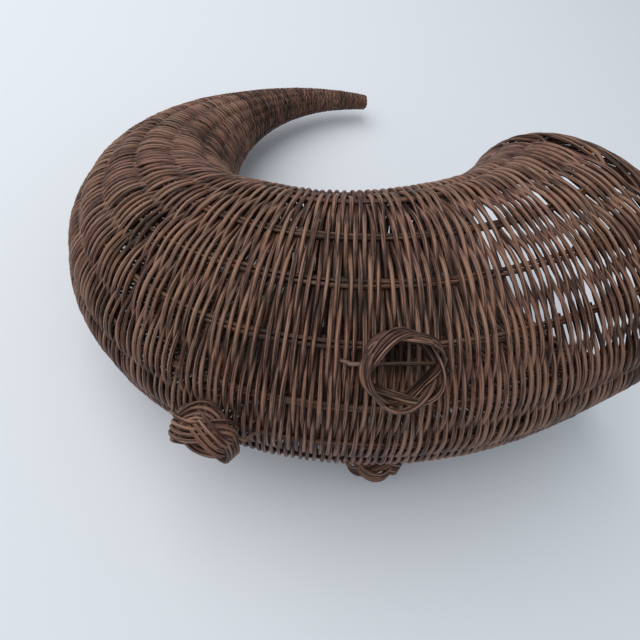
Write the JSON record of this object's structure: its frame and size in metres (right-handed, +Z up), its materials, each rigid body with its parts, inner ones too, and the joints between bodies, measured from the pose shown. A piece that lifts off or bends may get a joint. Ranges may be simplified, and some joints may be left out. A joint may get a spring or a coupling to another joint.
{
  "type": "cornucopia basket",
  "caption": "Horn-shaped woven basket lying on its side, with a wide round mouth, a curled tapering tail and plaited ring feet on its outer side, for holding fruit or flowers",
  "frame": {"origin": "centre of the bottom of the box round the basket as it lies on its side, on the surface it lies on", "axes": "+Z is up as it lies; the outer side of the bend faces -Y, the mouth is towards +X and opens to +X and +Y, and the tail's tip is at +Y"},
  "size_m": [0.5742, 0.5704, 0.267],
  "materials": {
    "weft_rod": "satin",
    "inner_weft_rod": "matt",
    "stake_rod": "matt",
    "gathered_ends": "matt",
    "border_rod": "satin",
    "foot_rod": "satin",
    "lashing_rod": "satin"
  },
  "bodies": {
    "root": {"woven_band_01": "weft_rod", "woven_band_02": "weft_rod", "woven_band_03": "weft_rod", "woven_band_04": "weft_rod", "woven_band_05": "weft_rod", "woven_band_06": "weft_rod", "woven_band_07": "weft_rod", "woven_band_08": "weft_rod", "woven_band_09": "weft_rod", "woven_lining_1": "inner_weft_rod", "woven_lining_2": "inner_weft_rod", "woven_lining_3": "inner_weft_rod", "stake_pair_01": "stake_rod", "stake_pair_02": "stake_rod", "stake_pair_03": "stake_rod", "stake_pair_04": "stake_rod", "stake_pair_05": "stake_rod", "stake_pair_06": "stake_rod", "stake_pair_07": "stake_rod", "stake_pair_08": "stake_rod", "stake_pair_09": "stake_rod", "stake_pair_10": "stake_rod", "stake_pair_11": "stake_rod", "stake_pair_12": "stake_rod", "stake_pair_13": "stake_rod", "stake_pair_14": "stake_rod", "stake_pair_15": "stake_rod", "stake_pair_16": "stake_rod", "stake_pair_17": "stake_rod", "tail_core": "gathered_ends", "mouth_border": "border_rod", "foot_ring_upper_front": "foot_rod", "foot_ring_lower_front": "foot_rod", "foot_ring_rear": "foot_rod", "foot_lashing_upper_front": "lashing_rod", "foot_lashing_lower_front": "lashing_rod", "foot_lashing_rear": "lashing_rod"}
  },
  "joints": []
}
